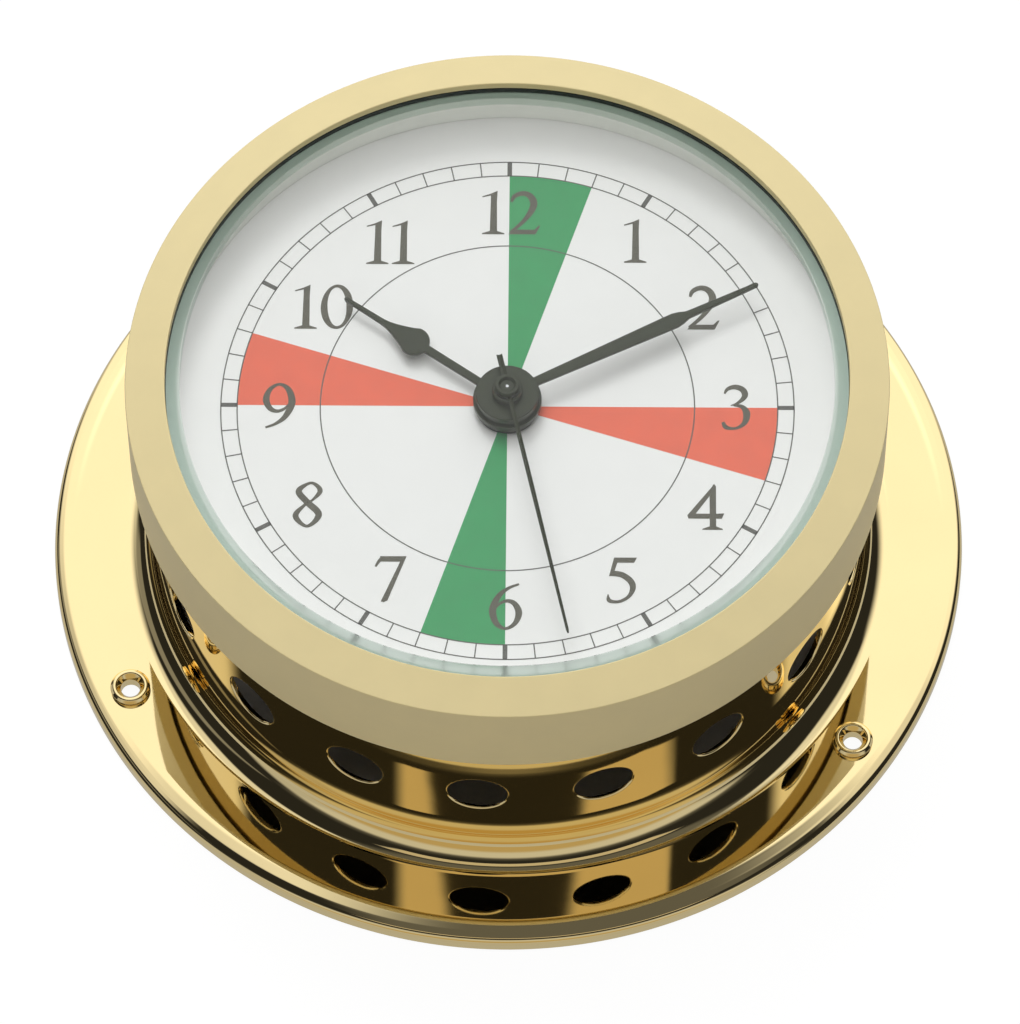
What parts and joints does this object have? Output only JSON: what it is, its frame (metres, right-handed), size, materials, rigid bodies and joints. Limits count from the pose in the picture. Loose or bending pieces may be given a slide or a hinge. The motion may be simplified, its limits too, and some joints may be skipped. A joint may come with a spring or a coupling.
{
  "type": "ships clock",
  "caption": "Round brass bulkhead clock lying on its back: flanged drum with vent holes and screw eyelets, screwed bezel, glass, printed dial, hands and quartz movement.",
  "frame": {"origin": "centre of the plane that the flange's rim rests on", "axes": "+Z out through the glass, +Y towards twelve o'clock, +X towards three o'clock"},
  "size_m": [0.12, 0.12, 0.0444],
  "materials": {
    "polished_brass": "polished and lacquered yellow brass",
    "satin_brass": "finely turned satin brass, lacquered",
    "glass": "clear float glass with a ground bevel round its edge",
    "black_rubber": "matt black",
    "grey_plastic": "pale green-grey, matt",
    "dial_print": "white paint with printed figures, minute track and sectors",
    "black_plastic": "black moulded, fine grain",
    "white_plastic": "natural white moulded",
    "magnet": "sintered magnet, dark grey",
    "steel": "bright drawn steel",
    "copper": "enamelled copper winding",
    "iron": "stamped soft iron, grey",
    "circuit_board": "green lacquered board",
    "battery_sleeve": "printed sleeve, blue",
    "hand_paint": "olive grey paint on stamped sheet"
  },
  "bodies": {
    "case": {"case_shell": "polished_brass", "mounting_eyelet_1": "polished_brass", "mounting_eyelet_2": "polished_brass", "mounting_eyelet_3": "polished_brass", "spacer_ring": "grey_plastic", "dial": "dial_print", "movement_holder": "black_plastic", "movement_housing": "black_plastic", "movement_cover": "black_plastic", "middle_plate": "white_plastic", "coil": "copper", "stator": "iron", "circuit_board": "circuit_board", "quartz_can": "steel", "contact_plus": "steel", "contact_minus": "steel", "movement_screw_1": "steel", "movement_screw_2": "steel"},
    "front_glass": {"glass": "glass"},
    "bezel": {"bezel": "satin_brass", "glass_gasket": "black_rubber"},
    "minute": {"minute_arbor": "steel", "clutch_spring": "steel", "minute_hand": "hand_paint", "minute_hand_nut": "hand_paint"},
    "hour": {"hour_wheel": "white_plastic", "hour_hand": "hand_paint"},
    "minute_wheel": {"minute_wheel": "white_plastic"},
    "knob": {"setting_knob": "black_plastic"},
    "second": {"second_wheel": "steel", "second_hand": "hand_paint"},
    "step": {"step_wheel": "white_plastic"},
    "rotor": {"rotor": "magnet"},
    "third": {"third_wheel": "white_plastic"},
    "center": {"center_wheel": "white_plastic"},
    "battery": {"battery": "battery_sleeve"}
  },
  "joints": [
    {"name": "glass_lift", "type": "slide", "parent": "case", "child": "front_glass", "axis": [0, 0, 1], "range_m": [0, 0.003]},
    {"name": "bezel_unscrew", "type": "hinge", "parent": "front_glass", "child": "bezel", "pos_m": [0, 0, 0.04], "axis": [0, 0, 1], "range_deg": [0, 1080]},
    {"name": "minute_hand_turn", "type": "hinge", "parent": "case", "child": "minute", "pos_m": [0, 0, 0.03], "axis": [0, 0, -1], "continuous": true},
    {"name": "hour_hand_turn", "type": "hinge", "parent": "case", "child": "hour", "pos_m": [0, 0, 0.03], "axis": [0, 0, -1], "continuous": true},
    {"name": "minute_wheel_turn", "type": "hinge", "parent": "case", "child": "minute_wheel", "pos_m": [0.00835, -0.00224, 0.03], "axis": [0, 0, -1], "continuous": true},
    {"name": "setting_knob_turn", "type": "hinge", "parent": "case", "child": "knob", "pos_m": [0.01685, -0.00074, 0.03], "axis": [0, 0, -1], "continuous": true},
    {"name": "second_hand_turn", "type": "hinge", "parent": "case", "child": "second", "pos_m": [0, 0, 0.03], "axis": [0, 0, -1], "continuous": true},
    {"name": "step_wheel_turn", "type": "hinge", "parent": "case", "child": "step", "pos_m": [-0.00662, 0.00555, 0.03], "axis": [0, 0, -1], "continuous": true},
    {"name": "rotor_turn", "type": "hinge", "parent": "case", "child": "rotor", "pos_m": [-0.00808, 0.01383, 0.03], "axis": [0, 0, -1], "continuous": true},
    {"name": "third_wheel_turn", "type": "hinge", "parent": "case", "child": "third", "pos_m": [0.00752, 0.00527, 0.03], "axis": [0, 0, -1], "continuous": true},
    {"name": "center_wheel_turn", "type": "hinge", "parent": "case", "child": "center", "pos_m": [0, 0, 0.03], "axis": [0, 0, -1], "continuous": true},
    {"name": "battery_out", "type": "slide", "parent": "case", "child": "battery", "axis": [0, 0, -1], "range_m": [0, 0.0155]}
  ],
  "couplings": [
    {"joint": "glass_lift", "follows": "bezel_unscrew", "m_per_rad": 0.000159},
    {"joint": "hour_hand_turn", "follows": "minute_hand_turn", "ratio": 0.083333},
    {"joint": "minute_wheel_turn", "follows": "minute_hand_turn", "ratio": -0.33333},
    {"joint": "setting_knob_turn", "follows": "minute_hand_turn", "ratio": 1},
    {"joint": "step_wheel_turn", "follows": "second_hand_turn", "ratio": -5},
    {"joint": "rotor_turn", "follows": "second_hand_turn", "ratio": 30},
    {"joint": "third_wheel_turn", "follows": "second_hand_turn", "ratio": -0.13333},
    {"joint": "center_wheel_turn", "follows": "second_hand_turn", "ratio": 0.016667}
  ]
}
